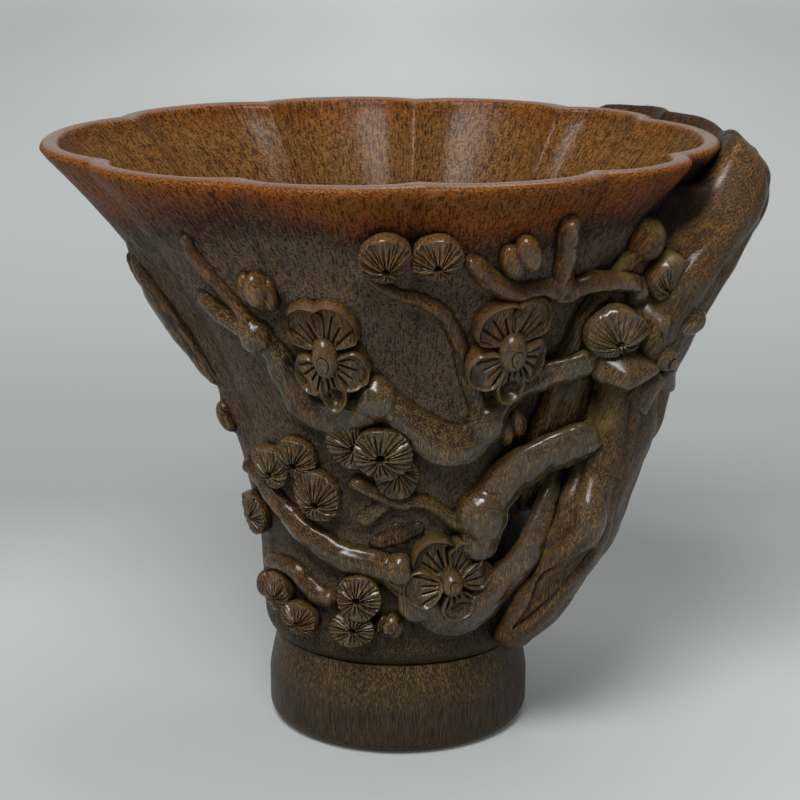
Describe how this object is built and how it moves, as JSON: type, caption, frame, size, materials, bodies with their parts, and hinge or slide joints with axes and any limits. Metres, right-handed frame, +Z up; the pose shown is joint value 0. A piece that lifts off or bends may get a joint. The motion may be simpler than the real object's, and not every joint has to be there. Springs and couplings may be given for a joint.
{
  "type": "wine cup",
  "caption": "Carved libation cup with a lobed, flaring bowl on an oval foot, undercut blossoming branches round the wall and a gnarled trunk as its handle.",
  "frame": {"origin": "middle of the footprint of the whole cup, at the underside of the foot", "axes": "+Z up out of the bowl's mouth, +X along the mouth's length towards the handle, -Y towards the front"},
  "size_m": [0.1358, 0.0966, 0.1158],
  "materials": {
    "bowl_horn": "satin",
    "foot_horn": "satin",
    "limb_horn": "satin",
    "carved_horn": "satin"
  },
  "bodies": {
    "root": {"bowl": "bowl_horn", "foot": "foot_horn", "trunk": "limb_horn", "rim_shoulder": "limb_horn", "thick_branch": "limb_horn", "low_branch": "limb_horn", "long_branch": "limb_horn", "upper_twig": "limb_horn", "low_twig": "limb_horn", "rear_branch": "limb_horn", "rear_low_branch": "limb_horn", "left_leaf": "limb_horn", "left_leaf_tip": "limb_horn", "fallen_leaf": "limb_horn", "blossom_left": "carved_horn", "blossom_right": "carved_horn", "blossom_low": "carved_horn", "blossom_side": "carved_horn", "blossom_rear": "carved_horn", "blossom_rear_low": "carved_horn", "cluster_top_left": "carved_horn", "cluster_top_right": "carved_horn", "cluster_middle": "carved_horn", "cluster_middle_left": "carved_horn", "cluster_middle_low": "carved_horn", "cluster_low": "carved_horn", "cluster_lowest": "carved_horn", "cluster_lean": "carved_horn", "cluster_fan": "carved_horn", "cluster_left_a": "carved_horn", "cluster_left_b": "carved_horn", "cluster_left_c": "carved_horn", "cluster_edge": "carved_horn", "cluster_heel_a": "carved_horn", "cluster_heel_b": "carved_horn", "cluster_rear_a": "carved_horn", "cluster_rear_b": "carved_horn", "cluster_rear_c": "carved_horn", "cluster_rear_low_a": "carved_horn", "cluster_rear_low_b": "carved_horn", "bud_left": "carved_horn", "bud_right": "carved_horn", "bud_middle": "carved_horn", "bud_low": "carved_horn", "bud_side": "carved_horn", "bud_edge_high": "carved_horn", "bud_edge_low": "carved_horn", "bud_rear": "carved_horn"}
  },
  "joints": []
}
